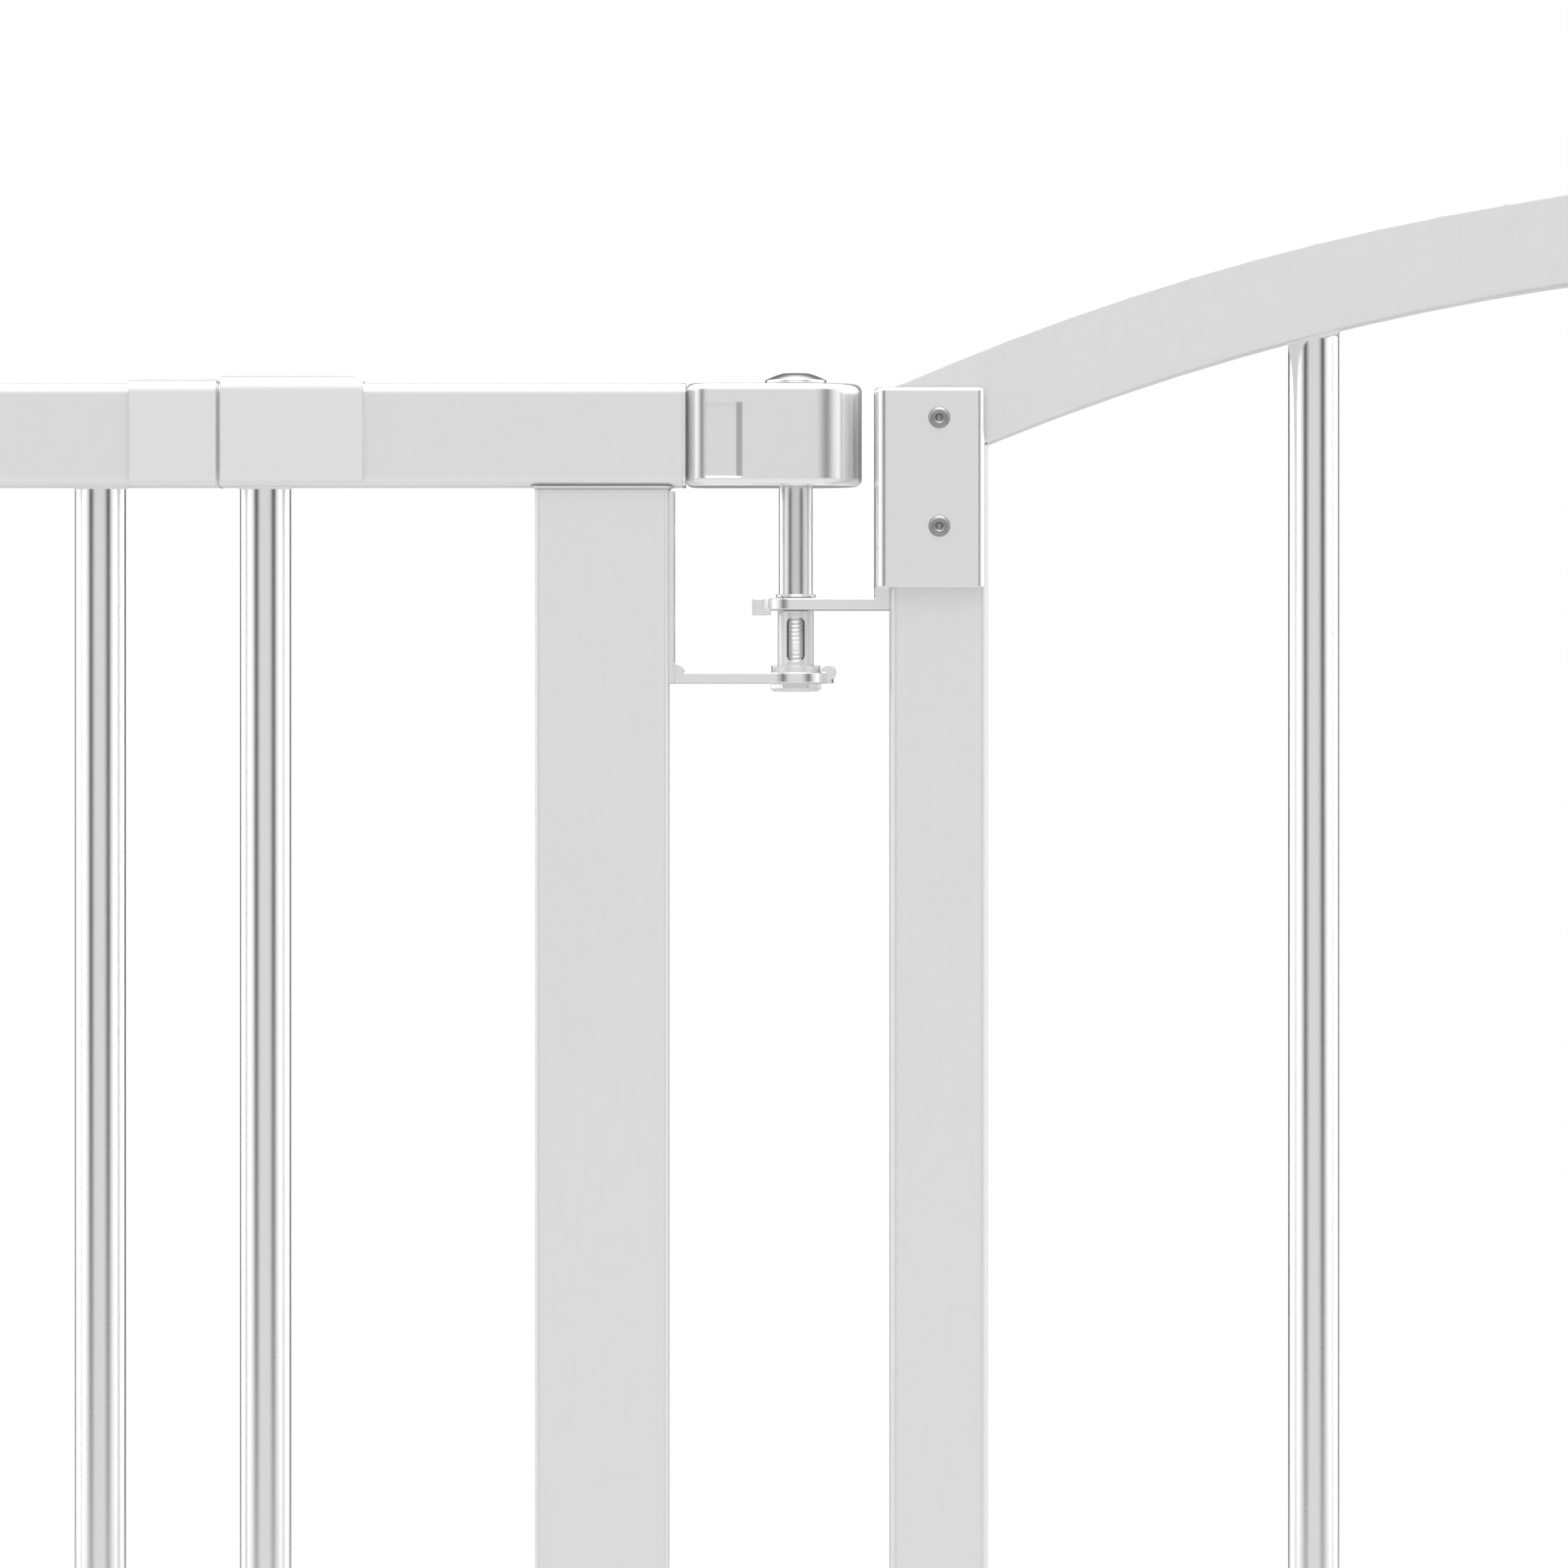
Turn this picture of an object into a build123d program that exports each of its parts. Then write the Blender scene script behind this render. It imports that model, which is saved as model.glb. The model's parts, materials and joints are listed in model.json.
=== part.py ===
from build123d import *
import os
from math import sqrt

# A pet gate for a doorway: a frame with two flat posts and a threshold bar, an arched door that
# hangs on one post and latches on the other, and a telescoping panel on each side that is pressed
# to the wall by threaded feet. Millimetres, X across the doorway, Y through it, Z up from the floor,
# with the origin on the floor under the middle of the door.

# Driving dimensions
PIVOT_X = 220.0  # from the door's middle to the hinge axis, and to the latch axis
RAIL_TOP = 720.0
RAIL = 20.0  # square rails of the frame and side panels
RAIL_ROUND = 2.2
WALL = 1.2  # wall of every tube
POST = 19.0  # square posts of the door and at the wall
POST_ROUND = 1.6
BALUSTER_R = 5.0
BALUSTER_PITCH = 59.35
FLAT_WIDTH = 26.0  # flat posts beside the doorway
FLAT_DEPTH = 18.0
LOWER_RAIL_BOTTOM = 40.0
SLIDE_TRAVEL_SEAM = 0.4  # daylight at each telescoping seam
PIN_R = 2.5
BOLT_R = 3.25
RUNNING = 0.06  # radial clearance of a running fit
SPINDLE_R = 3.9

# Distances from a pivot axis, positive towards the middle of the door
FLAT_NEAR = -24.8
FLAT_FAR = FLAT_NEAR - FLAT_WIDTH
SEAM = -112.4
INNER_BALUSTER = -103.7
OUTER_BALUSTER = -136.0
DOOR_POST = 27.9
DOOR_POST_FACE = DOOR_POST - POST / 2

# Arch of the door
ARCH = 18.0
ARCH_R = 498.0
ARCH_APEX = 762.3
ARCH_CENTRE_Z = ARCH_APEX - ARCH_R

# Door bracket arm, support arm and the parts stacked on the hinge pin
ARM = 2.2
ARM_TOP = RAIL_TOP - 41.9
ARM_BOTTOM = ARM_TOP - ARM
ARM_GAP = 0.2
SUPPORT_TOP = RAIL_TOP - 56.4
SUPPORT = 2.0
SUPPORT_BOTTOM = SUPPORT_TOP - SUPPORT
BRACKET_TOP = RAIL_TOP - 0.95
BRACKET_BOTTOM = RAIL_TOP - 39.8
BRACKET_PLATE = 1.8
BRACKET_WEB = 3.0
RIVET_R = 1.5
RIVET_HEAD_R = 2.1
RIVET_HEIGHTS = (RAIL_TOP - 6.8, RAIL_TOP - 27.9)

# Housings that carry the hinge pin and the latch bolt
HOUSING_FLANGE = -22.1
HOUSING_NOSE = 2.5
HOUSING_HALF = 10.4
HOUSING_PLATE = 0.6  # thin plate between the housing and the rail's end
HOUSING_SHAPE = dict(pocket_from=-17.6, pocket_to=-11.6, ramp=1.2, pocket_depth=0.5, lip=3.6, base=1.7)
HOUSING_RIM = 1.5
HOUSING_HEEL = 4.8

# Threshold, lower hinge and door bottom
THRESHOLD_BOTTOM = 4.0
THRESHOLD_HEIGHT = 12.0
THRESHOLD_DEPTH = 26.0
FLAT_FOOT = THRESHOLD_BOTTOM + THRESHOLD_HEIGHT
LOWER_ARM_BOTTOM = 28.0
DOOR_FOOT_BOTTOM = 38.2
DOOR_FOOT_TOP = DOOR_FOOT_BOTTOM + ARM
DOOR_RAIL_BOTTOM = 46.0
DOOR_RAIL = 18.0
SCREW_R = 2.0
SCREW_HEAD_R = 3.0
ANGLE_PLATE = 1.1  # flange of the angle brackets screwed to the flat posts
UPPER_SCREWS = (692.0, 674.0)
LOWER_SCREWS = (36.5, 22.5)

# Side panels and wall feet
WALL_POST_X = 597.9
WALL_POST_BOTTOM = 30.0
WHEEL_R = 17.0
WHEEL_WIDTH = 13.0
PAD_R = 15.0
PAD_FACE_X = 641.4
PAD_THICK = 10.0
SPINDLE_INNER_X = 565.0
FOOT_HEIGHTS = {"top": RAIL_TOP - RAIL / 2, "bottom": LOWER_RAIL_BOTTOM + RAIL / 2}

LATCH_TIP = 681.0
LATCH_SHOULDER = 743.0

SIDES = {"left": -1, "right": 1}
CLIP_UP = {"top": 1, "bottom": -1}  # the lower clips hang upside down, clear of the balusters
CLIP_SHORT = 0.8  # how far a clip's skirts stop short of the rail's far face


def at(side, distance):
    """X of a point at this distance from the side's pivot axis, towards the middle of the door."""
    return side * (PIVOT_X - distance)


def save(part, name):
    part.label = name
    export_step(part, f"parts/{name}.step")


def tube_along_x(x_from, x_to, z_middle, size, corner):
    """Square tube lying along X."""
    low, high = sorted((x_from, x_to))
    with BuildPart() as tube:
        with BuildSketch(Plane.YZ.offset(low)):
            with Locations((0, z_middle)):
                RectangleRounded(size, size, corner)
                RectangleRounded(size - 2 * WALL, size - 2 * WALL, corner - WALL + 0.2, mode=Mode.SUBTRACT)
        extrude(amount=high - low)
    return tube.part


def upright_tube(x, z_low, z_high, width, depth, corner):
    """Rectangular tube standing along Z."""
    with BuildPart() as tube:
        with BuildSketch(Plane.XY.offset(z_low)):
            with Locations((x, 0)):
                RectangleRounded(width, depth, corner)
                inner_corner = max(corner - WALL, 0.3)
                RectangleRounded(width - 2 * WALL, depth - 2 * WALL, inner_corner, mode=Mode.SUBTRACT)
        extrude(amount=z_high - z_low)
    return tube.part


def saddle_clip(x_from, x_to, rail_middle, up, crown, skirt, lead_in):
    """Snap-on clip that bridges the end of a rail and grips its far corners; up is 1 or -1."""
    low, high = sorted((x_from, x_to))
    crown_z = rail_middle + up * (RAIL / 2 + crown)
    with BuildPart() as clip:
        with BuildSketch(Plane.YZ.offset(low)):
            with Locations((0, rail_middle + up * crown / 2)):
                RectangleRounded(RAIL + 2 * skirt, RAIL + crown, RAIL_ROUND + crown / 2)
            with Locations((0, rail_middle)):
                RectangleRounded(RAIL, RAIL, RAIL_ROUND, mode=Mode.SUBTRACT)
            with Locations((0, rail_middle - up * (RAIL - CLIP_SHORT))):
                Rectangle(2 * RAIL, RAIL, mode=Mode.SUBTRACT)
        extrude(amount=high - low)
        if lead_in:
            end_x = low if x_from > 0 else high
            inward = 1 if x_from > 0 else -1
            with BuildSketch(Plane.XZ.offset(-RAIL)):
                with BuildLine():
                    Polyline(
                        (end_x, crown_z),
                        (end_x + 2 * inward * lead_in, crown_z),
                        (end_x, crown_z - up * lead_in),
                        close=True,
                    )
                make_face()
            extrude(amount=2 * RAIL, mode=Mode.SUBTRACT)
    return clip.part


def dome_arc(axis_x, rim_z, rim_r, height):
    """Arc from a dome's rim to its crown, centred on the dome's axis."""
    sphere_r = (rim_r**2 + height**2) / (2 * height)
    middle_z = rim_z + height - sphere_r + sqrt(sphere_r**2 - (rim_r / 2) ** 2)
    ThreePointArc((axis_x + rim_r, rim_z), (axis_x + rim_r / 2, middle_z), (axis_x, rim_z + height))


def housing(side, bore_r):
    """Cast housing that closes a rail's end and holds an upright pin beyond it."""
    shape = HOUSING_SHAPE
    bottom = RAIL_TOP - RAIL
    with BuildPart() as block:
        with BuildSketch(Plane.XY.offset(bottom)):
            with Locations((at(side, (HOUSING_FLANGE + HOUSING_PLATE + HOUSING_NOSE) / 2), 0)):
                Rectangle(HOUSING_NOSE - HOUSING_FLANGE - HOUSING_PLATE, 2 * HOUSING_HALF)
            with Locations((at(side, HOUSING_NOSE), 0)):
                Circle(HOUSING_HALF)
        extrude(amount=RAIL)
        heels = block.edges().filter_by(Axis.Z).filter_by(lambda edge: abs(edge.center().X) > PIVOT_X + 20)
        fillet(heels, radius=HOUSING_HEEL)
        rims = block.faces().filter_by(Axis.Z).edges()
        fillet(rims, radius=HOUSING_RIM)
        near = at(side, shape["pocket_from"])
        far = at(side, shape["pocket_to"])
        ramp_end = at(side, shape["pocket_to"] + 2 * shape["ramp"])
        with BuildSketch(Plane.XY.offset(bottom + shape["base"])):
            for face in (-1, 1):
                floor_y = face * (HOUSING_HALF - shape["pocket_depth"])
                outside_y = face * (HOUSING_HALF + shape["pocket_depth"])
                with BuildLine():
                    Polyline(
                        (near, floor_y), (far, floor_y), (ramp_end, outside_y), (near, outside_y), close=True
                    )
                make_face()
        extrude(amount=RAIL - shape["lip"] - shape["base"], mode=Mode.SUBTRACT)
        plate_from = min(at(side, HOUSING_FLANGE), at(side, HOUSING_FLANGE + HOUSING_PLATE))
        with BuildSketch(Plane.YZ.offset(plate_from)):
            with Locations((0, RAIL_TOP - RAIL / 2)):
                RectangleRounded(RAIL, RAIL, RAIL_ROUND)
        extrude(amount=HOUSING_PLATE)
        with Locations((at(side, 0), 0, RAIL_TOP)):
            Hole(radius=bore_r)
    return block.part


def door_bracket(side, bore_r, stop_tab):
    """U-shaped bracket riveted over the top of a door post, with an arm that reaches the pivot axis."""
    web_outer = DOOR_POST_FACE - BRACKET_WEB
    free_edge = DOOR_POST + POST / 2 - 0.6
    half = POST / 2 + BRACKET_PLATE
    outer_side = 0 if side < 0 else -1
    with BuildPart() as bracket:
        with BuildSketch(Plane.XY.offset(BRACKET_BOTTOM)):
            with Locations((at(side, (web_outer + free_edge) / 2), 0)):
                Rectangle(free_edge - web_outer, 2 * half)
            with Locations((at(side, DOOR_POST_FACE + POST), 0)):
                Rectangle(2 * POST, POST, mode=Mode.SUBTRACT)
        extrude(amount=BRACKET_TOP - BRACKET_BOTTOM)
        upright = bracket.edges().filter_by(Axis.Z)
        fillet(upright.group_by(Axis.X)[outer_side], radius=2.6)
        free_edges = bracket.edges().filter_by(Axis.Z).group_by(Axis.X)[-1 - outer_side].sort_by(Axis.Y)
        fillet([free_edges[0], free_edges[-1]], radius=1.6)
        top_edges = bracket.faces().sort_by(Axis.Z)[-1].edges()
        fillet(top_edges.filter_by(lambda edge: abs(edge.center().Y) > POST / 2), radius=0.7)
        with BuildSketch(Plane.XY.offset(ARM_BOTTOM)):
            with Locations((at(side, DOOR_POST_FACE - BRACKET_WEB / 2), 0)):
                Rectangle(BRACKET_WEB, 14.0)
        extrude(amount=BRACKET_BOTTOM - ARM_BOTTOM)
        with BuildSketch(Plane.XY.offset(ARM_BOTTOM)):
            with Locations((at(side, web_outer / 2), 0)):
                Rectangle(web_outer, 14.0)
            with Locations((at(side, 0), 0)):
                Circle(7.0)
        extrude(amount=ARM)
        if stop_tab:
            with BuildSketch(Plane.XY.offset(ARM_BOTTOM - 0.9)):
                with Locations((at(side, -6.7), 0)):
                    Rectangle(3.6, 6.0)
            extrude(amount=ARM + 0.9)
        with Locations((at(side, 0), 0, ARM_TOP)):
            Hole(radius=bore_r, depth=2 * ARM)
        for height in RIVET_HEIGHTS:
            with Locations(Plane((at(side, DOOR_POST), -half, height), z_dir=(0, -1, 0))):
                Hole(radius=RIVET_R + 0.05)
    return bracket.part


def frame_bracket(side, arm_bottom, arm_thick, flange_low, flange_high, bore_r, screw_heights):
    """Angle bracket screwed to a flat post's side, whose arm holds the pivot's end."""
    plate = ANGLE_PLATE
    with BuildPart() as bracket:
        with BuildSketch(Plane.XY.offset(flange_low)):
            with Locations((at(side, FLAT_NEAR + plate / 2), 0)):
                Rectangle(plate, 16.0)
        extrude(amount=flange_high - flange_low)
        with BuildSketch(Plane.XY.offset(arm_bottom)):
            with Locations((at(side, FLAT_NEAR / 2), 0)):
                Rectangle(-FLAT_NEAR, 13.0)
            with Locations((at(side, 0), 0)):
                Circle(7.4)
        extrude(amount=arm_thick)
        for height in screw_heights:
            with Locations(Plane((at(side, FLAT_NEAR + plate), 0, height), z_dir=(-side, 0, 0))):
                CounterSinkHole(SCREW_R + 0.05, SCREW_HEAD_R + 0.05, depth=2 * plate)
        with Locations((at(side, 0), 0, arm_bottom + arm_thick)):
            Hole(radius=bore_r, depth=2 * arm_thick)
    return bracket.part


def stiffened(bracket, side):
    """Adds a bend bead, a raised pad and a rolled tip to the upper face of a support arm."""
    flange_face = at(side, FLAT_NEAR + ANGLE_PLATE)
    inward = -side
    with BuildPart() as stiff:
        add(bracket)
        with BuildSketch(Plane.XZ.offset(-6.5)):
            with BuildLine():
                Polyline(
                    (flange_face + inward * 1.9, SUPPORT_TOP),
                    (flange_face, SUPPORT_TOP),
                    (flange_face, SUPPORT_TOP + 1.9),
                )
                RadiusArc(
                    (flange_face, SUPPORT_TOP + 1.9), (flange_face + inward * 1.9, SUPPORT_TOP), -side * 1.9
                )
            make_face()
        extrude(amount=13.0)
        with BuildSketch(Plane.XY.offset(SUPPORT_TOP)):
            with Locations((at(side, -8.9), 0)):
                Rectangle(6.8, 8.0)
        extrude(amount=1.1, taper=20)
        with BuildSketch(Plane.XZ.offset(-4.5)):
            with Locations((at(side, 6.4), SUPPORT_TOP + 0.1)):
                Circle(1.5)
        extrude(amount=9.0)
    return stiff.part


# Flat posts beside the doorway, with the holes for the bracket screws
for name, side in SIDES.items():
    middle = at(side, FLAT_NEAR - FLAT_WIDTH / 2)
    tube = upright_tube(middle, FLAT_FOOT, RAIL_TOP - RAIL, FLAT_WIDTH, FLAT_DEPTH, 1.0)
    screw_heights = UPPER_SCREWS + LOWER_SCREWS if name == "left" else UPPER_SCREWS
    with BuildPart() as flat_post:
        add(tube)
        for height in screw_heights:
            with Locations(Plane((at(side, FLAT_NEAR), 0, height), z_dir=(-side, 0, 0))):
                Hole(radius=SCREW_R + 0.05, depth=3 * WALL)
    save(flat_post.part, f"{name}_flat_post")

# Short inner rails of the frame, two at the top and two at the bottom
with BuildPart() as inner_top_rails:
    for side in SIDES.values():
        add(tube_along_x(at(side, SEAM), at(side, HOUSING_FLANGE), RAIL_TOP - RAIL / 2, RAIL, RAIL_ROUND))
save(inner_top_rails.part, "inner_top_rails")

with BuildPart() as inner_bottom_rails:
    for side in SIDES.values():
        middle_z = LOWER_RAIL_BOTTOM + RAIL / 2
        add(tube_along_x(at(side, SEAM), at(side, FLAT_FAR), middle_z, RAIL, RAIL_ROUND))
save(inner_bottom_rails.part, "inner_bottom_rails")

with BuildPart() as inner_balusters:
    with BuildSketch(Plane.XY.offset(LOWER_RAIL_BOTTOM + RAIL)):
        with Locations(*[(at(side, INNER_BALUSTER), 0) for side in SIDES.values()]):
            Circle(BALUSTER_R)
    extrude(amount=RAIL_TOP - LOWER_RAIL_BOTTOM - 2 * RAIL)
save(inner_balusters.part, "inner_balusters")

with BuildPart() as inner_clips:
    for side in SIDES.values():
        for level, up in CLIP_UP.items():
            add(saddle_clip(at(side, SEAM + 0.4), at(side, -84.2), FOOT_HEIGHTS[level], up, 1.3, 1.3, 1.0))
save(inner_clips.part, "inner_clips")

# Threshold bar on rubber feet
with BuildPart() as threshold_bar:
    bar_length = 2 * (PIVOT_X - FLAT_FAR)
    with BuildSketch(Plane.YZ.offset(-bar_length / 2)):
        with Locations((0, THRESHOLD_BOTTOM + THRESHOLD_HEIGHT / 2)):
            RectangleRounded(THRESHOLD_DEPTH, THRESHOLD_HEIGHT, 3.0)
            inner = THRESHOLD_DEPTH - 2 * WALL
            RectangleRounded(inner, THRESHOLD_HEIGHT - 2 * WALL, 3.0 - WALL, mode=Mode.SUBTRACT)
    extrude(amount=bar_length)
save(threshold_bar.part, "threshold_bar")

with BuildPart() as threshold_feet:
    with BuildSketch(Plane.XY):
        with Locations((-245, 0), (-82, 0), (82, 0), (245, 0)):
            RectangleRounded(34.0, THRESHOLD_DEPTH - 7.0, 4.0)
    extrude(amount=THRESHOLD_BOTTOM)
save(threshold_feet.part, "threshold_feet")

# Hinge: housing, pin, spacer, slotted bush, support bracket and nut
hinge_x = at(SIDES["left"], 0)
save(housing(SIDES["left"], PIN_R + RUNNING), "hinge_housing")

NUT_THICK = 1.6
with BuildPart() as hinge_pin:
    with BuildSketch(Plane.XZ.offset(0)):
        with BuildLine():
            Polyline(
                (hinge_x, RAIL_TOP + 2.4),
                (hinge_x, SUPPORT_BOTTOM - NUT_THICK),
                (hinge_x + PIN_R, SUPPORT_BOTTOM - NUT_THICK),
                (hinge_x + PIN_R, RAIL_TOP),
                (hinge_x + 6.0, RAIL_TOP),
                (hinge_x + 6.0, RAIL_TOP + 0.8),
            )
            dome_arc(hinge_x, RAIL_TOP + 0.8, 6.0, 1.6)
        make_face()
    revolve(axis=Axis((hinge_x, 0, 0), (0, 0, 1)))
save(hinge_pin.part, "hinge_pin")

with BuildPart() as hinge_spacer:
    with BuildSketch(Plane.XY.offset(ARM_TOP + ARM_GAP)):
        with Locations((hinge_x, 0)):
            Circle(3.3)
            Circle(PIN_R + RUNNING, mode=Mode.SUBTRACT)
    extrude(amount=RAIL_TOP - RAIL - ARM_TOP - ARM_GAP)
save(hinge_spacer.part, "hinge_spacer")

BUSH_FLANGE = 1.4
BUSH_TOP = ARM_BOTTOM - ARM_GAP
BUSH_WINDOW = 3.4
with BuildPart() as hinge_bush:
    with BuildSketch(Plane.XY.offset(SUPPORT_TOP)):
        with Locations((hinge_x, 0)):
            Circle(3.5)
            Circle(PIN_R + RUNNING, mode=Mode.SUBTRACT)
    extrude(amount=BUSH_TOP - SUPPORT_TOP)
    with BuildSketch(Plane.XY.offset(SUPPORT_TOP)):
        with Locations((hinge_x, 0)):
            Circle(4.8)
            Circle(PIN_R + RUNNING, mode=Mode.SUBTRACT)
    extrude(amount=BUSH_FLANGE)
    window_height = BUSH_TOP - SUPPORT_TOP - BUSH_FLANGE - 2.0
    with BuildSketch(Plane.XZ.offset(10)):
        with Locations((hinge_x, SUPPORT_TOP + BUSH_FLANGE + 0.8 + window_height / 2)):
            RectangleRounded(BUSH_WINDOW, window_height, 1.2)
    extrude(amount=-20, mode=Mode.SUBTRACT)
save(hinge_bush.part, "hinge_bush")

support = frame_bracket(
    SIDES["left"], SUPPORT_BOTTOM, SUPPORT, SUPPORT_BOTTOM, 699.0, PIN_R + RUNNING, UPPER_SCREWS
)
save(stiffened(support, SIDES["left"]), "hinge_support_bracket")

with BuildPart() as hinge_nut:
    with BuildSketch(Plane.XY.offset(SUPPORT_BOTTOM - NUT_THICK)):
        with Locations((hinge_x, 0)):
            RegularPolygon(radius=4.9, side_count=6)
            Circle(PIN_R + RUNNING, mode=Mode.SUBTRACT)
    extrude(amount=NUT_THICK)
    outline = hinge_nut.faces().sort_by(Axis.Z)[0].outer_wire().edges()
    chamfer(outline, length=0.5)
save(hinge_nut.part, "hinge_nut")

# Lower hinge: bracket, bush and an upright pivot screw
LOWER_PIN_TOP = 47.0
save(
    frame_bracket(
        SIDES["left"], LOWER_ARM_BOTTOM, ARM, FLAT_FOOT + 1.0, 42.0, PIN_R + RUNNING, LOWER_SCREWS
    ),
    "lower_hinge_bracket",
)

with BuildPart() as lower_hinge_pin:
    with BuildSketch(Plane.XY.offset(LOWER_ARM_BOTTOM)):
        with Locations((hinge_x, 0)):
            Circle(PIN_R)
    extrude(amount=LOWER_PIN_TOP - LOWER_ARM_BOTTOM)
    chamfer(lower_hinge_pin.faces().sort_by(Axis.Z)[-1].edges(), length=0.5)
    with BuildSketch(Plane.XY.offset(LOWER_ARM_BOTTOM - 4.0)):
        with Locations((hinge_x, 0)):
            RegularPolygon(radius=4.9, side_count=6)
    extrude(amount=4.0)
save(lower_hinge_pin.part, "lower_hinge_pin")

with BuildPart() as lower_hinge_bush:
    with BuildSketch(Plane.XY.offset(LOWER_ARM_BOTTOM + ARM)):
        with Locations((hinge_x, 0)):
            Circle(5.0)
            Circle(PIN_R + RUNNING, mode=Mode.SUBTRACT)
    extrude(amount=DOOR_FOOT_BOTTOM - ARM_GAP - LOWER_ARM_BOTTOM - ARM)
save(lower_hinge_bush.part, "lower_hinge_bush")

# Latch side of the frame: housing and guide bracket
BOLT_HOLE_R = BOLT_R + 0.35
save(housing(SIDES["right"], BOLT_R + RUNNING), "latch_housing")
guide = frame_bracket(
    SIDES["right"], SUPPORT_BOTTOM, SUPPORT, SUPPORT_BOTTOM, 699.0, BOLT_HOLE_R, UPPER_SCREWS
)
save(guide, "latch_guide_bracket")

# Screws through the three brackets into the flat posts
with BuildPart() as bracket_screws:
    for name, side in SIDES.items():
        heights = UPPER_SCREWS + LOWER_SCREWS if name == "left" else UPPER_SCREWS
        for height in heights:
            face_x = at(side, FLAT_NEAR + ANGLE_PLATE)
            with BuildSketch(Plane((face_x, 0, height), z_dir=(side, 0, 0))):
                Circle(SCREW_HEAD_R)
            extrude(amount=SCREW_HEAD_R - SCREW_R, taper=45)
            with BuildSketch(Plane((face_x, 0, height), z_dir=(side, 0, 0))):
                Circle(SCREW_R)
            extrude(amount=8.0)
save(bracket_screws.part, "bracket_screws")

# Door: posts, arch, bottom rail and balusters
arch_inner_r = ARCH_R - ARCH
door_half = PIVOT_X - DOOR_POST_FACE

with BuildPart() as arch:
    with BuildSketch(Plane.YZ):
        with Locations((0, ARCH_CENTRE_Z + ARCH_R - ARCH / 2)):
            RectangleRounded(ARCH, ARCH, 0.9)
            RectangleRounded(ARCH - 2 * WALL, ARCH - 2 * WALL, 0.3, mode=Mode.SUBTRACT)
    revolve(axis=Axis((0, 0, ARCH_CENTRE_Z), (0, 1, 0)), revolution_arc=26)
    mirror(about=Plane.YZ)
    with Locations((0, 0, RAIL_TOP)):
        Box(2 * door_half, 2 * ARCH, 8 * ARCH, mode=Mode.INTERSECT)
    for side in SIDES.values():
        with Locations(Plane((at(side, DOOR_POST), -ARCH, RIVET_HEIGHTS[0]), z_dir=(0, -1, 0))):
            Hole(radius=RIVET_R + 0.05)
save(arch.part, "door_arch_rail")

for name, side in {"door_hinge_post": -1, "door_latch_post": 1}.items():
    tube = upright_tube(at(side, DOOR_POST), DOOR_FOOT_TOP, RAIL_TOP + ARCH, POST, POST, POST_ROUND)
    with BuildPart() as door_post:
        add(tube)
        with Locations((0, 0, ARCH_CENTRE_Z)):
            Cylinder(arch_inner_r, 2 * POST, rotation=(90, 0, 0), mode=Mode.INTERSECT)
        with Locations(Plane((at(side, DOOR_POST), -POST, RIVET_HEIGHTS[1]), z_dir=(0, -1, 0))):
            Hole(radius=RIVET_R + 0.05)
    save(door_post.part, name)

door_rail_end = PIVOT_X - DOOR_POST - POST / 2
door_rail = tube_along_x(-door_rail_end, door_rail_end, DOOR_RAIL_BOTTOM + DOOR_RAIL / 2, DOOR_RAIL, 1.6)
save(door_rail, "door_bottom_rail")

for number in range(1, 6):
    baluster_x = (number - 3) * BALUSTER_PITCH
    with BuildPart() as baluster:
        with BuildSketch(Plane.XY.offset(DOOR_RAIL_BOTTOM + DOOR_RAIL)):
            with Locations((baluster_x, 0)):
                Circle(BALUSTER_R)
        extrude(amount=ARCH_APEX - DOOR_RAIL_BOTTOM - DOOR_RAIL)
        with Locations((0, 0, ARCH_CENTRE_Z)):
            Cylinder(arch_inner_r, 4 * BALUSTER_R, rotation=(90, 0, 0), mode=Mode.INTERSECT)
    save(baluster.part, f"door_baluster_{number}")

save(door_bracket(SIDES["left"], PIN_R + RUNNING, True), "hinge_side_bracket")
save(door_bracket(SIDES["right"], BOLT_HOLE_R, False), "latch_side_bracket")

# Rivets that go right through the brackets, the arch's ends and the posts
with BuildPart() as door_rivets:
    face_y = POST / 2 + BRACKET_PLATE
    for side in SIDES.values():
        for height in RIVET_HEIGHTS:
            with BuildSketch(Plane((at(side, DOOR_POST), -face_y, height), z_dir=(0, 1, 0))):
                Circle(RIVET_R)
            extrude(amount=2 * face_y)
            for outward in (-1, 1):
                seat = (at(side, DOOR_POST), outward * face_y, height)
                with BuildSketch(Plane(seat, z_dir=(0, outward, 0))):
                    Circle(RIVET_HEAD_R)
                extrude(amount=0.9, taper=20)
save(door_rivets.part, "door_rivets")

with BuildPart() as door_foot_arm:
    with BuildSketch(Plane.XY.offset(DOOR_FOOT_BOTTOM)):
        with Locations((at(-1, (DOOR_POST + POST / 2) / 2), 0)):
            Rectangle(DOOR_POST + POST / 2, 15.0)
        with Locations((hinge_x, 0)):
            Circle(7.5)
    extrude(amount=ARM)
    with Locations((hinge_x, 0, DOOR_FOOT_TOP)):
        Hole(radius=PIN_R + RUNNING)
save(door_foot_arm.part, "door_foot_arm")

# Drop bolt, parked in its lifted position
bolt_x = at(SIDES["right"], 0)
with BuildPart() as latch_bolt:
    with BuildSketch(Plane.XY.offset(LATCH_TIP)):
        with Locations((bolt_x, 0)):
            Circle(BOLT_R)
    extrude(amount=LATCH_SHOULDER - LATCH_TIP)
    chamfer(latch_bolt.faces().sort_by(Axis.Z)[0].edges(), length=1.0)
save(latch_bolt.part, "latch_bolt")

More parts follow.
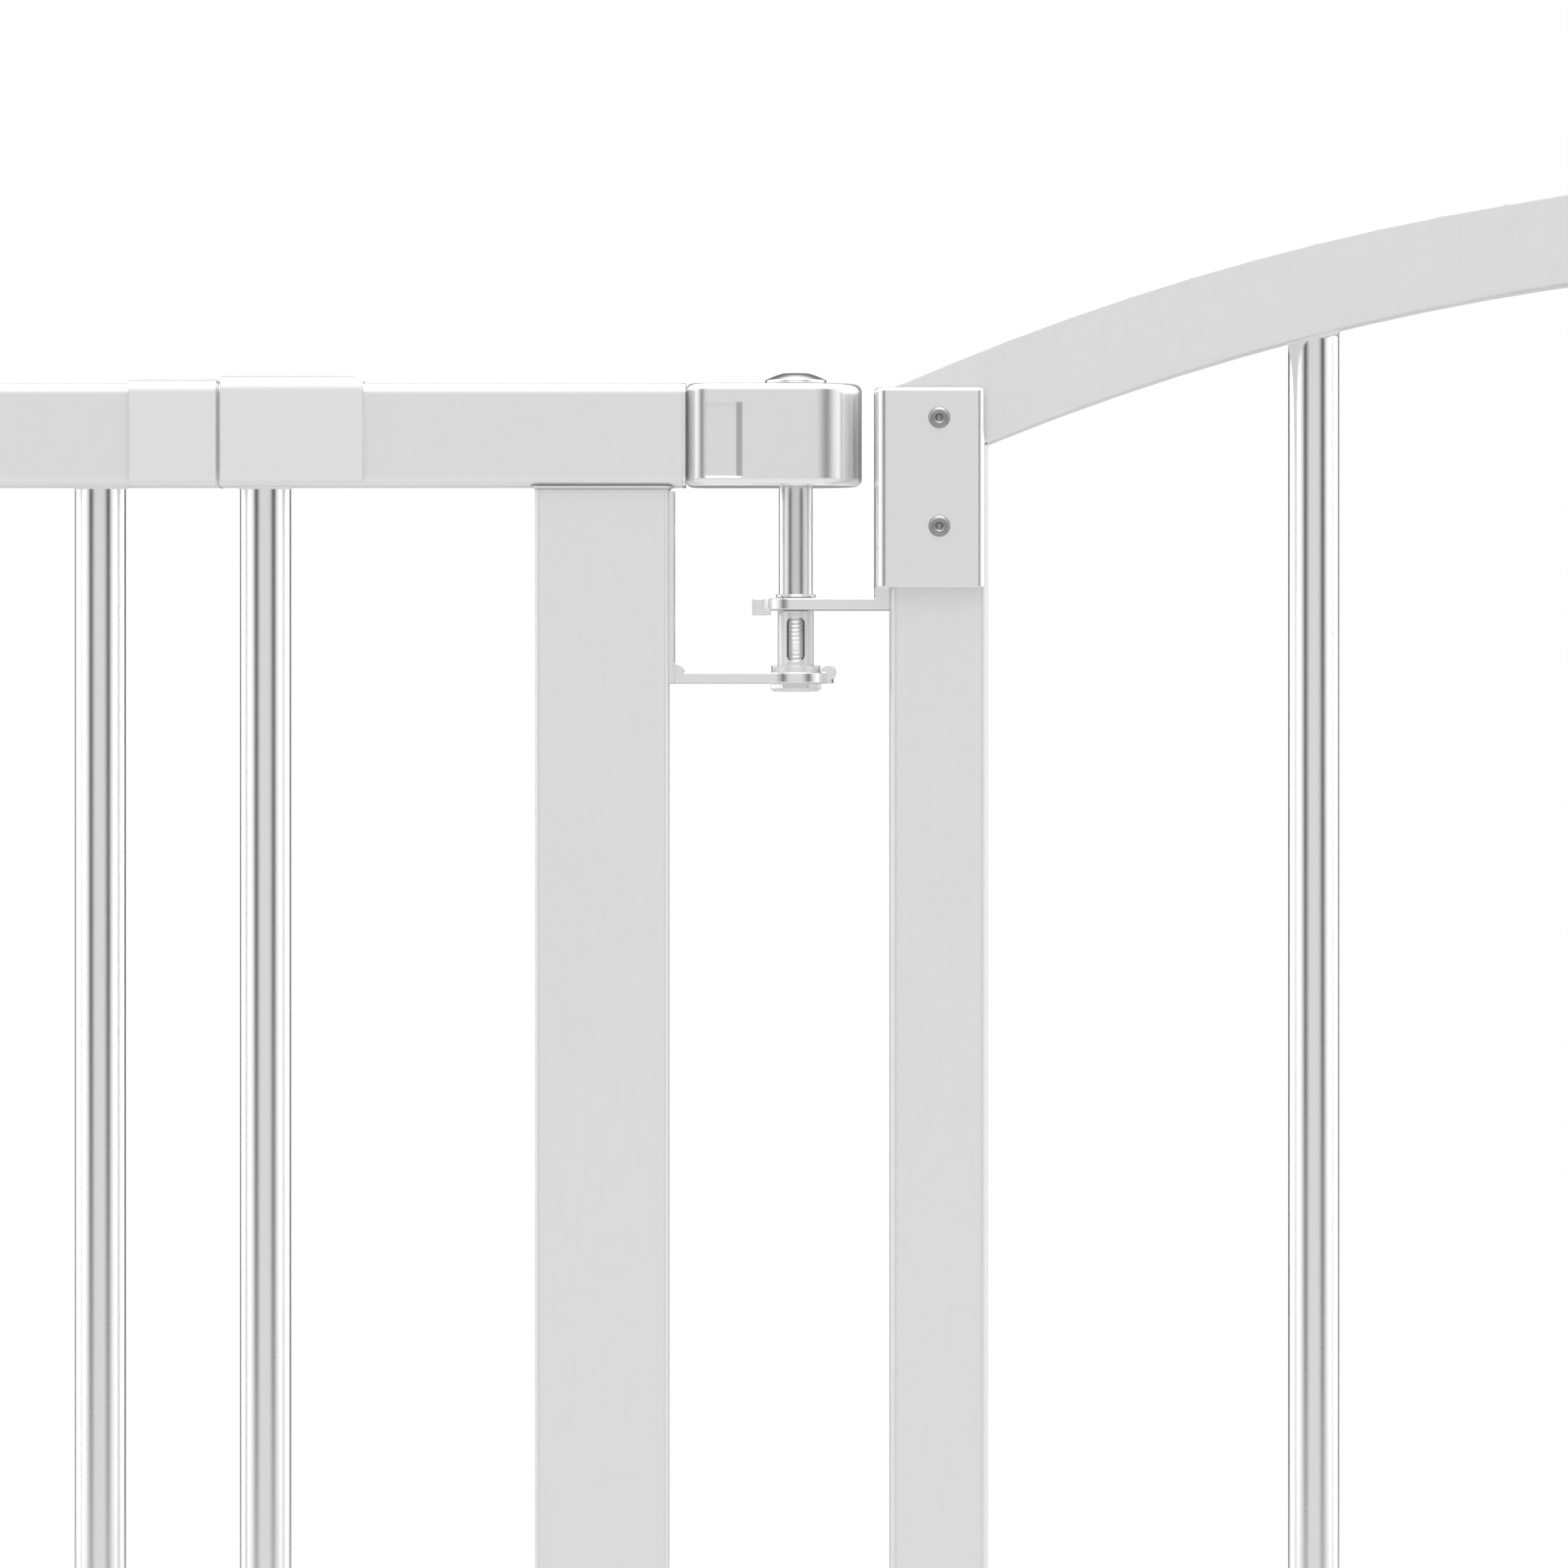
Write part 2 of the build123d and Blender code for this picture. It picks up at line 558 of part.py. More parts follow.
with BuildPart() as latch_knob:
    with BuildSketch(Plane.XZ):
        with BuildLine():
            Polyline(
                (bolt_x, LATCH_SHOULDER + 16.0),
                (bolt_x, LATCH_SHOULDER),
                (bolt_x + 6.0, LATCH_SHOULDER),
                (bolt_x + 6.0, LATCH_SHOULDER + 5.0),
                (bolt_x + 10.0, LATCH_SHOULDER + 9.0),
                (bolt_x + 10.0, LATCH_SHOULDER + 12.5),
            )
            dome_arc(bolt_x, LATCH_SHOULDER + 12.5, 10.0, 3.5)
        make_face()
    revolve(axis=Axis((bolt_x, 0, 0), (0, 0, 1)))
save(latch_knob.part, "latch_knob")

# Side panels: rails, wall post, balusters, outer clips and the bars that slide in the frame's rails
for name, side in SIDES.items():
    seam_x = at(side, SEAM - SLIDE_TRAVEL_SEAM)
    post_inner_x = side * (WALL_POST_X - POST / 2)
    for level, height in FOOT_HEIGHTS.items():
        save(tube_along_x(seam_x, post_inner_x, height, RAIL, RAIL_ROUND), f"{name}_panel_{level}_rail")

    tube = upright_tube(side * WALL_POST_X, WALL_POST_BOTTOM, RAIL_TOP, POST, RAIL, POST_ROUND)
    with BuildPart() as wall_post:
        add(tube)
        for height in FOOT_HEIGHTS.values():
            with Locations(Plane((side * (WALL_POST_X + POST / 2), 0, height), z_dir=(side, 0, 0))):
                Hole(radius=SPINDLE_R + 0.4)
    save(wall_post.part, f"{name}_wall_post")

    panel_balusters_x = [at(side, OUTER_BALUSTER - step * BALUSTER_PITCH) for step in range(4)]
    with BuildPart() as panel_balusters:
        with BuildSketch(Plane.XY.offset(LOWER_RAIL_BOTTOM + RAIL)):
            with Locations(*[(x, 0) for x in panel_balusters_x]):
                Circle(BALUSTER_R)
        extrude(amount=RAIL_TOP - LOWER_RAIL_BOTTOM - 2 * RAIL)
    save(panel_balusters.part, f"{name}_panel_balusters")

    with BuildPart() as outer_clips:
        for level, up in CLIP_UP.items():
            add(saddle_clip(at(side, -129.8), seam_x, FOOT_HEIGHTS[level], up, 0.6, 0.9, 0))
    save(outer_clips.part, f"{name}_panel_clips")

    bar = RAIL - 2 * WALL - 0.6
    with BuildPart() as telescope_bars:
        for inner_end, height in ((SEAM + 85, FOOT_HEIGHTS["top"]), (SEAM + 57, FOOT_HEIGHTS["bottom"])):
            add(tube_along_x(at(side, inner_end), at(side, SEAM - 60), height, bar, 1.6))
    save(telescope_bars.part, f"{name}_telescope_bars")

    # Wall feet: a hand wheel bears on the post and drives a threaded spindle with a rubber pad
    wheel_x = WALL_POST_X + POST / 2 + 0.3
    for level, height in FOOT_HEIGHTS.items():
        with BuildPart() as hand_wheel:
            with BuildSketch(Plane((side * wheel_x, 0, height), z_dir=(side, 0, 0))):
                Circle(WHEEL_R)
                Circle(SPINDLE_R + RUNNING, mode=Mode.SUBTRACT)
                with PolarLocations(WHEEL_R + 1.6, 12):
                    Circle(3.0, mode=Mode.SUBTRACT)
            extrude(amount=WHEEL_WIDTH - 4.0)
            with BuildSketch(Plane((side * (wheel_x + WHEEL_WIDTH - 4.0), 0, height), z_dir=(side, 0, 0))):
                Circle(8.5)
                Circle(SPINDLE_R + RUNNING, mode=Mode.SUBTRACT)
            extrude(amount=4.0)
        save(hand_wheel.part, f"{name}_{level}_hand_wheel")

        with BuildPart() as spindle:
            with BuildSketch(Plane((side * SPINDLE_INNER_X, 0, height), z_dir=(side, 0, 0))):
                Circle(SPINDLE_R)
            extrude(amount=PAD_FACE_X - 4.0 - SPINDLE_INNER_X)
        save(spindle.part, f"{name}_{level}_spindle")

        with BuildPart() as pad:
            with BuildSketch(Plane((side * (PAD_FACE_X - PAD_THICK), 0, height), z_dir=(side, 0, 0))):
                Circle(PAD_R)
            extrude(amount=PAD_THICK)
            back_edge = pad.edges().filter_by(GeomType.CIRCLE).group_by(Axis.X)[0 if side > 0 else -1]
            fillet(back_edge, radius=3.0)
            with Locations(Plane((side * (PAD_FACE_X - PAD_THICK), 0, height), z_dir=(-side, 0, 0))):
                Hole(radius=SPINDLE_R + 0.03, depth=PAD_THICK - 3.9)
        save(pad.part, f"{name}_{level}_pad")
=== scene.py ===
import json
import math

import bmesh
import bpy
from mathutils import Matrix, Vector, noise


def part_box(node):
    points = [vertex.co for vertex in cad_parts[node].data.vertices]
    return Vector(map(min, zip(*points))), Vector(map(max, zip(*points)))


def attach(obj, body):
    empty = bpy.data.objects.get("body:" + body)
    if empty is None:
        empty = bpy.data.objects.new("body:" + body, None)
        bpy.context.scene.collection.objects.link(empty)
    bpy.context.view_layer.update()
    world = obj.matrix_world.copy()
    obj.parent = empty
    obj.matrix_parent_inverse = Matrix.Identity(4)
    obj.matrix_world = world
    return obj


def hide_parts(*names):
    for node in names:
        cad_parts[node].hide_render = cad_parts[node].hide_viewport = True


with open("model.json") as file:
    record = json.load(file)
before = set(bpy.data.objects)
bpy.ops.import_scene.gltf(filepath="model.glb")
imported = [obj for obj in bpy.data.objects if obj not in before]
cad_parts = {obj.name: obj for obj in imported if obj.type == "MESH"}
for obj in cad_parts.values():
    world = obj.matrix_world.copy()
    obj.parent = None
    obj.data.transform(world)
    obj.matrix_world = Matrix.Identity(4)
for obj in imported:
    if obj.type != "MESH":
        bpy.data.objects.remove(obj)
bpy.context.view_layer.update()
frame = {"nodes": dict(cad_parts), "record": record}

MM = 0.001
SIDES = {"left": -1, "right": 1}  # sign of X on each side
LEVELS = ("top", "bottom")
NODES = frame["nodes"]


def middle(node):
    """Centre of a CAD node's box."""
    low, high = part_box(node)
    return (low + high) / 2


# ---------------------------------------------------------------- shader tools
SOCKETS = {"float": "NodeSocketFloat", "colour": "NodeSocketColor", "vector": "NodeSocketVector"}


def grey(tone):
    return (tone, tone, tone, 1)


def group(name, inputs, outputs):
    """Empty shader node group with float, colour or vector sockets, and its two end nodes."""
    tree = bpy.data.node_groups.new(name, "ShaderNodeTree")
    for socket, kind in inputs.items():
        tree.interface.new_socket(socket, in_out="INPUT", socket_type=SOCKETS[kind])
    for socket, kind in outputs.items():
        tree.interface.new_socket(socket, in_out="OUTPUT", socket_type=SOCKETS[kind])
    return tree, tree.nodes.new("NodeGroupInput"), tree.nodes.new("NodeGroupOutput")


def math_node(tree, operation, first, second=0.0):
    """Math node fed by sockets or plain numbers."""
    node = tree.nodes.new("ShaderNodeMath")
    node.operation = operation
    for socket, value in zip(node.inputs, (first, second)):
        if isinstance(value, (int, float)):
            socket.default_value = value
        else:
            tree.links.new(value, socket)
    return node.outputs[0]


def noise_node(tree, vector, scale, detail=2.0, stretch=None):
    """Noise texture on a vector socket; a stretch scales the vector along each axis first."""
    if stretch:
        mapping = tree.nodes.new("ShaderNodeMapping")
        mapping.inputs["Scale"].default_value = stretch
        tree.links.new(vector, mapping.inputs["Vector"])
        vector = mapping.outputs["Vector"]
    node = tree.nodes.new("ShaderNodeTexNoise")
    node.inputs["Detail"].default_value = detail
    if isinstance(scale, (int, float)):
        node.inputs["Scale"].default_value = scale
    else:
        tree.links.new(scale, node.inputs["Scale"])
    tree.links.new(vector, node.inputs["Vector"])
    return node.outputs["Fac"]


def rise_node(tree, value, start, end):
    """Runs from 0 to 1 while a value goes from start to end."""
    node = tree.nodes.new("ShaderNodeMapRange")
    node.inputs["From Min"].default_value = start
    node.inputs["From Max"].default_value = end
    tree.links.new(value, node.inputs["Value"])
    return node.outputs[0]


def fade_node(tree, share, colour, tone):
    """Fades a colour into a flat grey by a share from 0 to 1."""
    node = tree.nodes.new("ShaderNodeMix")
    node.data_type = "RGBA"
    node.inputs["B"].default_value = grey(tone)
    tree.links.new(share, node.inputs["Factor"])
    tree.links.new(colour, node.inputs["A"])
    return node.outputs["Result"]


# ---------------------------------------------------------------- camera and studio
PIN = middle("hinge_pin")
RAIL_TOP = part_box("inner_top_rails")[1].z

CAMERA_DISTANCE = 2.0
FIELD_WIDTH = 0.3067  # width of the strip of the gate that the view takes in
CAMERA_LEFT = 2.3  # of the hinge pin, mm
CAMERA_BELOW = 78.1  # the rails' top, mm

FLOOR_HALF = 5.5
FLOOR_TONE = 0.86
FLOOR_ROUGHNESS = 0.7

LAMP_SIZE = 2.4
LAMP_ENERGY = 42.0
LAMP_PLACE = (0, -0.5, 3.0)
LAMP_TILT = math.radians(-4)

SEEN_LIGHT = 1.0
MIRRORED_LIGHT = 2.0
SOFT_LIGHT = 0.615
# Brightness mirrored by the paint, by degrees from the viewer's direction: a dark slit near 40 degrees.
WALLS = (
    (0.0, 0.70), (20, 0.70), (30, 0.34), (38, 0.03), (43, 0.05), (53, 0.70),
    (66, 1.1), (100, 1.7), (180, 1.7),
)
CEILING_RISE = (0.30, 0.62)
CEILING_TONE = 0.75
BACK_RISE = (0.68, 0.80)
BACK_TONE = 0.07


def make_camera():
    data = bpy.data.cameras.new("camera")
    data.sensor_width = 36.0
    data.lens = data.sensor_width * CAMERA_DISTANCE / FIELD_WIDTH
    data.clip_start = 0.05
    data.clip_end = 60.0
    camera = bpy.data.objects.new("camera", data)
    camera.location = (PIN.x - CAMERA_LEFT * MM, -CAMERA_DISTANCE, RAIL_TOP - CAMERA_BELOW * MM)
    camera.rotation_euler = (math.radians(90), 0, 0)
    bpy.context.scene.collection.objects.link(camera)
    bpy.context.scene.camera = camera


def make_floor():
    bm = bmesh.new()
    bmesh.ops.create_grid(bm, x_segments=1, y_segments=1, size=FLOOR_HALF)
    mesh = bpy.data.meshes.new("floor")
    bm.to_mesh(mesh)
    bm.free()
    floor = bpy.data.objects.new("floor", mesh)
    bpy.context.scene.collection.objects.link(floor)
    material = bpy.data.materials.new("floor_paint")
    material.use_nodes = True
    shader = material.node_tree.nodes["Principled BSDF"]
    shader.inputs["Base Color"].default_value = grey(FLOOR_TONE)
    shader.inputs["Roughness"].default_value = FLOOR_ROUGHNESS
    mesh.materials.append(material)


def make_world():
    """White to the camera, an even glow to diffuse rays, and a room of walls to mirrored rays.

    The room has a dark upright slit on either side of the viewer, bright flanks, a pale ceiling and
    a dark patch straight behind the gate.
    """
    world = bpy.data.worlds.new("studio")
    bpy.context.scene.world = world
    world.use_nodes = True
    tree = world.node_tree
    tree.nodes.clear()
    link = tree.links.new
    coords = tree.nodes.new("ShaderNodeTexCoord")
    split = tree.nodes.new("ShaderNodeSeparateXYZ")
    link(coords.outputs["Generated"], split.inputs[0])
    across, back, up = (split.outputs[axis] for axis in "XYZ")
    turn = math_node(tree, "ARCTAN2", across, math_node(tree, "MULTIPLY", back, -1.0))
    share = math_node(tree, "DIVIDE", math_node(tree, "ABSOLUTE", turn), math.pi)
    walls = tree.nodes.new("ShaderNodeValToRGB")
    for index, (degrees, light) in enumerate(WALLS):
        place = degrees / 180
        stop = walls.color_ramp.elements[index] if index < 2 else walls.color_ramp.elements.new(place)
        stop.position = place
        stop.color = grey(light / MIRRORED_LIGHT)
    link(share, walls.inputs[0])
    room = fade_node(tree, rise_node(tree, up, *CEILING_RISE), walls.outputs["Color"], CEILING_TONE)
    room = fade_node(tree, rise_node(tree, back, *BACK_RISE), room, BACK_TONE)
    paths = tree.nodes.new("ShaderNodeLightPath")
    lights = {}
    for name, strength in (("seen", SEEN_LIGHT), ("mirrored", MIRRORED_LIGHT), ("soft", SOFT_LIGHT)):
        lights[name] = tree.nodes.new("ShaderNodeBackground")
        lights[name].inputs["Strength"].default_value = strength
        lights[name].inputs["Color"].default_value = grey(1)
    link(room, lights["mirrored"].inputs["Color"])
    surface = lights["mirrored"].outputs[0]
    for ray, name in (("Is Diffuse Ray", "soft"), ("Is Camera Ray", "seen")):
        mix = tree.nodes.new("ShaderNodeMixShader")
        link(paths.outputs[ray], mix.inputs["Fac"])
        link(surface, mix.inputs[1])
        link(lights[name].outputs[0], mix.inputs[2])
        surface = mix.outputs[0]
    out = tree.nodes.new("ShaderNodeOutputWorld")
    link(surface, out.inputs["Surface"])


def make_softbox():
    data = bpy.data.lights.new("softbox", "AREA")
    data.shape = "SQUARE"
    data.size = LAMP_SIZE
    data.energy = LAMP_ENERGY
    lamp = bpy.data.objects.new("softbox", data)
    lamp.location = LAMP_PLACE
    lamp.rotation_euler = (LAMP_TILT, 0, 0)
    bpy.context.scene.collection.objects.link(lamp)


bpy.context.scene.view_settings.view_transform = "Standard"
make_camera()
make_floor()
make_world()
make_softbox()


# ---------------------------------------------------------------- finishes
EDGE_RADIUS = 0.45 * MM
RELIEF_DEPTH = 0.05 * MM
DUST_HEIGHT = 0.16  # floor dust thins out up to here
DUST = (0.46, 0.45, 0.43)
STEEL_GRIME = (0.35, 0.34, 0.32)
RIVET_GRIME = (0.20, 0.20, 0.20)
RUBBER_GRIME = (0.22, 0.21, 0.20)

# Slot: tone when clean, dusty colour, metallic, roughness smooth and worn, grain, its depth, rubbing, coat.
LOOKS = {
    "frame_paint": (0.84, DUST, 0.45, 0.30, 0.50, 1500.0, 0.25, 0.04, 0.0),
    "baluster_paint": (0.94, DUST, 0.95, 0.12, 0.30, 1500.0, 0.10, 0.04, 0.0),
    "bracket_paint": (0.92, DUST, 0.85, 0.13, 0.32, 1800.0, 0.1, 0.04, 0.3),
    "bar_paint": (0.78, DUST, 0.6, 0.30, 0.55, 1500.0, 0.2, 0.5, 0.0),
    "housing_paint": (0.88, DUST, 0.74, 0.14, 0.32, 1800.0, 0.12, 0.04, 0.3),
    "moulded_white": (0.86, DUST, 0.25, 0.20, 0.40, 2600.0, 0.2, 0.05, 0.5),
    "zinc_steel": (0.78, STEEL_GRIME, 1.0, 0.16, 0.40, 1200.0, 0.15, 0.3, 0.0),
    "rivet_steel": (0.34, RIVET_GRIME, 1.0, 0.30, 0.55, 1200.0, 0.3, 0.4, 0.0),
    "wheel_plastic": (0.80, DUST, 0.0, 0.42, 0.60, 3200.0, 0.6, 0.1, 0.0),
    "foot_rubber": (0.34, RUBBER_GRIME, 0.0, 0.62, 0.80, 2400.0, 0.8, 0.1, 0.0),
}


def make_relief():
    """Orange peel or moulded grain over softened edges, as a normal."""
    tree, start, end = group("surface_relief", {"Grain": "float", "Depth": "float"}, {"Normal": "vector"})
    coords = tree.nodes.new("ShaderNodeTexCoord")
    edges = tree.nodes.new("ShaderNodeBevel")
    edges.samples = 6
    edges.inputs["Radius"].default_value = EDGE_RADIUS
    height = noise_node(tree, coords.outputs["Object"], start.outputs["Grain"], 3.0)
    bump = tree.nodes.new("ShaderNodeBump")
    bump.inputs["Distance"].default_value = RELIEF_DEPTH
    tree.links.new(start.outputs["Depth"], bump.inputs["Strength"])
    tree.links.new(height, bump.inputs["Height"])
    tree.links.new(edges.outputs["Normal"], bump.inputs["Normal"])
    tree.links.new(bump.outputs["Normal"], end.inputs["Normal"])
    return tree



def make_ageing():
    """Slight unevenness, fine rub marks and a trace of floor dust, as a colour and a roughness."""
    tree, start, end = group(
        "handling_marks",
        {"Clean": "colour", "Dusty": "colour", "Rubbed": "float", "Smooth": "float", "Worn": "float"},
        {"Color": "colour", "Roughness": "float"},
    )
    link = tree.links.new
    coords = tree.nodes.new("ShaderNodeTexCoord").outputs["Object"]
    cloud = noise_node(tree, coords, 14.0, 4.0)
    speck = noise_node(tree, coords, 900.0, 1.0)
    rub = noise_node(tree, coords, 90.0, 6.0, stretch=(9.0, 9.0, 1.0))
    marks = math_node(tree, "MULTIPLY", rise_node(tree, rub, 0.60, 0.72), start.outputs["Rubbed"])
    height = tree.nodes.new("ShaderNodeSeparateXYZ")
    link(coords, height.inputs[0])
    dust = math_node(tree, "MULTIPLY", rise_node(tree, height.outputs["Z"], DUST_HEIGHT, 0.0), cloud)
    patches = math_node(tree, "MULTIPLY", math_node(tree, "SUBTRACT", cloud, 0.5), 0.10)
    specks = math_node(tree, "MULTIPLY", math_node(tree, "SUBTRACT", speck, 0.5), 0.03)
    uneven = math_node(tree, "MAXIMUM", math_node(tree, "ADD", patches, specks), 0.0)
    handled = math_node(tree, "ADD", dust, marks)
    tone = tree.nodes.new("ShaderNodeMix")
    tone.data_type = "RGBA"
    tone.clamp_factor = True
    link(math_node(tree, "ADD", handled, uneven), tone.inputs["Factor"])
    link(start.outputs["Clean"], tone.inputs["A"])
    link(start.outputs["Dusty"], tone.inputs["B"])
    link(tone.outputs["Result"], end.inputs["Color"])
    rough = tree.nodes.new("ShaderNodeMapRange")
    link(math_node(tree, "ADD", math_node(tree, "MULTIPLY", cloud, 0.5), handled), rough.inputs["Value"])
    link(start.outputs["Smooth"], rough.inputs["To Min"])
    link(start.outputs["Worn"], rough.inputs["To Max"])
    link(rough.outputs[0], end.inputs["Roughness"])
    return tree


RELIEF = make_relief()
AGEING = make_ageing()


def finish(slot, clean, dusty, metallic, smooth, worn, grain, depth, rubbed, coat):
    """Material of one slot, with its own tone, gloss and grain; coat is a clear gloss over it."""
    material = bpy.data.materials.new(slot)
    material.use_nodes = True
    tree = material.node_tree
    shader = tree.nodes["Principled BSDF"]
    shader.inputs["Metallic"].default_value = metallic
    shader.inputs["Coat Weight"].default_value = coat
    shader.inputs["Coat Roughness"].default_value = 0.08
    age = tree.nodes.new("ShaderNodeGroup")
    age.node_tree = AGEING
    age.inputs["Clean"].default_value = grey(clean)
    age.inputs["Dusty"].default_value = (*dusty, 1)
    age.inputs["Rubbed"].default_value = rubbed
    age.inputs["Smooth"].default_value = smooth
    age.inputs["Worn"].default_value = worn
    relief = tree.nodes.new("ShaderNodeGroup")
    relief.node_tree = RELIEF
    relief.inputs["Grain"].default_value = grain
    relief.inputs["Depth"].default_value = depth
    tree.links.new(age.outputs["Color"], shader.inputs["Base Color"])
    tree.links.new(age.outputs["Roughness"], shader.inputs["Roughness"])
    tree.links.new(relief.outputs["Normal"], shader.inputs["Normal"])
    return material


FINISHES = {slot: finish(slot, *look) for slot, look in LOOKS.items()}

for subpart in frame["record"]["subparts"]:
    node = NODES[subpart["node"]]
    node.data.materials.clear()
    node.data.materials.append(FINISHES[subpart["material_slot"]])


# ---------------------------------------------------------------- mesh tools
SMOOTH_UNDER = math.radians(38)



def piece(bm, name, body, slot, replaces=()):
    """Turns a bmesh into a finished object that rides on a body and takes a slot's finish."""
    bmesh.ops.remove_doubles(bm, verts=bm.verts, dist=1e-6)
    bmesh.ops.recalc_face_normals(bm, faces=bm.faces)
    mesh = bpy.data.meshes.new(name)
    bm.to_mesh(mesh)
    bm.free()
    mesh.shade_smooth()
    mesh.set_sharp_from_angle(angle=SMOOTH_UNDER)
    mesh.materials.append(FINISHES[slot])
    made = bpy.data.objects.new(name, mesh)
    bpy.context.scene.collection.objects.link(made)
    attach(made, body)
    if replaces:
        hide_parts(*replaces)


def placed(point, direction=(0, 0, 1)):
    """Matrix that puts local Z along a direction at a point; straight down is a half turn about X."""
    if direction[2] == -1:
        turn = Matrix.Rotation(math.pi, 4, "X")
    else:
        turn = Vector((0, 0, 1)).rotation_difference(Vector(direction)).to_matrix().to_4x4()
    return Matrix.Translation(point) @ turn


def lathe(bm, outline, place, steps=48, closed=False):
    """Turned solid: an outline of (radius, height) in millimetres about local Z, set in place."""
    before = set(bm.verts)
    chain = [bm.verts.new((radius * MM, 0, height * MM)) for radius, height in outline]
    links = list(zip(chain, chain[1:])) + ([(chain[-1], chain[0])] if closed else [])
    edges = [bm.edges.new(pair) for pair in links]
    bmesh.ops.spin(
        bm, geom=chain + edges, cent=(0, 0, 0), axis=(0, 0, 1), angle=2 * math.pi, steps=steps, use_merge=True
    )
    made = [v for v in bm.verts if v not in before]
    bmesh.ops.remove_doubles(bm, verts=made, dist=1e-6)
    made = [v for v in bm.verts if v not in before]
    bmesh.ops.transform(bm, matrix=place, verts=made)
    return made


def prism(bm, points, height, place):
    """Upright solid from a flat outline of (x, y) points in millimetres, set in place."""
    base = [bm.verts.new((x * MM, y * MM, 0)) for x, y in points]
    face = bmesh.ops.contextual_create(bm, geom=base)["faces"]
    grown = bmesh.ops.extrude_face_region(bm, geom=face, use_keep_orig=True)["geom"]
    top = [v for v in grown if isinstance(v, bmesh.types.BMVert)]
    bmesh.ops.translate(bm, vec=(0, 0, height * MM), verts=top)
    bmesh.ops.transform(bm, matrix=place, verts=base + top)
    return base + top


def rounded(width, depth, corner, steps=4):
    """Points of a rounded rectangle about the origin, in millimetres."""
    points = []
    for quarter, (sx, sy) in enumerate(((1, 1), (-1, 1), (-1, -1), (1, -1))):
        for step in range(steps + 1):
            angle = math.radians(90 * (quarter + step / steps))
            x = sx * (width / 2 - corner) + corner * math.cos(angle)
            y = sy * (depth / 2 - corner) + corner * math.sin(angle)
            points.append((x, y))
    return points


def square_ring(bm, section, place, steps=4):
    """Closed ring round a square tube; each row of its section is width, depth, corner and height."""
    loops = []
    for width, depth, corner, height in section:
        points = rounded(width, depth, corner, steps)
        ring = [bm.verts.new((x * MM, y * MM, height * MM)) for x, y in points]
        loops.append([bm.edges.new(pair) for pair in zip(ring, ring[1:] + ring[:1])])
    for one, other in zip(loops, loops[1:] + loops[:1]):
        bmesh.ops.bridge_loops(bm, edges=one + other)
    verts = list({v for loop in loops for edge in loop for v in edge.verts})
    bmesh.ops.transform(bm, matrix=place, verts=verts)
    return verts


def thread(bm, place, length, root_r, crest_r, pitch, steps=22):
    """Screw thread ridge of triangular section along local z, in millimetres."""
    before = set(bm.verts)
    section = ((root_r - 0.15, 0.08 * pitch), (crest_r, 0.5 * pitch), (root_r - 0.15, 0.92 * pitch))
    chain = [bm.verts.new((radius * MM, 0, height * MM)) for radius, height in section]
    edges = [bm.edges.new((chain[i], chain[(i + 1) % 3])) for i in range(3)]
    turns = int(length / pitch) - 1
    last = bmesh.ops.spin(
        bm, geom=chain + edges, cent=(0, 0, 0), axis=(0, 0, 1), dvec=(0, 0, pitch * MM / steps),
        angle=2 * math.pi * turns, steps=steps * turns, use_merge=False,
    )["geom_last"]
    bmesh.ops.contextual_create(bm, geom=chain)
    bmesh.ops.contextual_create(bm, geom=[v for v in last if isinstance(v, bmesh.types.BMVert)])
    made = [v for v in bm.verts if v not in before]
    bmesh.ops.transform(bm, matrix=place, verts=made)


# ---------------------------------------------------------------- welds
BEAD = ((0.0, 0.0), (1.0, 0.0), (0.42, 0.32), (0.12, 0.62), (0.0, 1.0))
BALUSTER_R = 5.0
RAIL = 20.0
POST = 19.0
POST_DEPTH = 18.0
FLAT_POST = 26.0
ARCH_DEPTH = 18.0 * MM
DOWN = (0, 0, -1)

noise.seed_set(1)  # so that every run gives the welds the same ripple


def bead_ring(bm, radius, place, size=1.0):
    """Weld fillet round a bar where it meets a face."""
    outline = [(radius - 0.15 + r * size, h * size - 0.05) for r, h in BEAD]
    return lathe(bm, outline, place, steps=40, closed=True)


def box_ring(bm, width, depth, corner, bead, place):
    """Weld fillet round a square tube where it meets a flat face at local z 0, tube along +z."""
    section = [
        (width + 2 * grow, depth + 2 * grow, corner + grow, height)
        for grow, height in ((0.0, 0.0), (bead, 0.0), (0.35 * bead, 0.35 * bead), (0.0, bead))
    ]
    return square_ring(bm, section, place)


def ripple(verts, depth=0.07, scale=1.3):
    """Uneven surface of a weld: pushes vertices about by a fixed noise."""
    for v in verts:
        v.co += noise.noise_vector(v.co / (scale * MM)) * depth * MM


def arch_place(x):
    """Place on the arch's inner surface above x, facing the arch's centre."""
    low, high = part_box("door_arch_rail")
    half = (high.x - low.x) / 2
    rise = high.z - ARCH_DEPTH - low.z
    inner_r = (half**2 + rise**2) / (2 * rise)
    centre = Vector((0, 0, high.z - ARCH_DEPTH - inner_r))
    up = math.sqrt(inner_r**2 - x**2)
    return placed(centre + Vector((x, 0, up)), (-x, 0, -up))


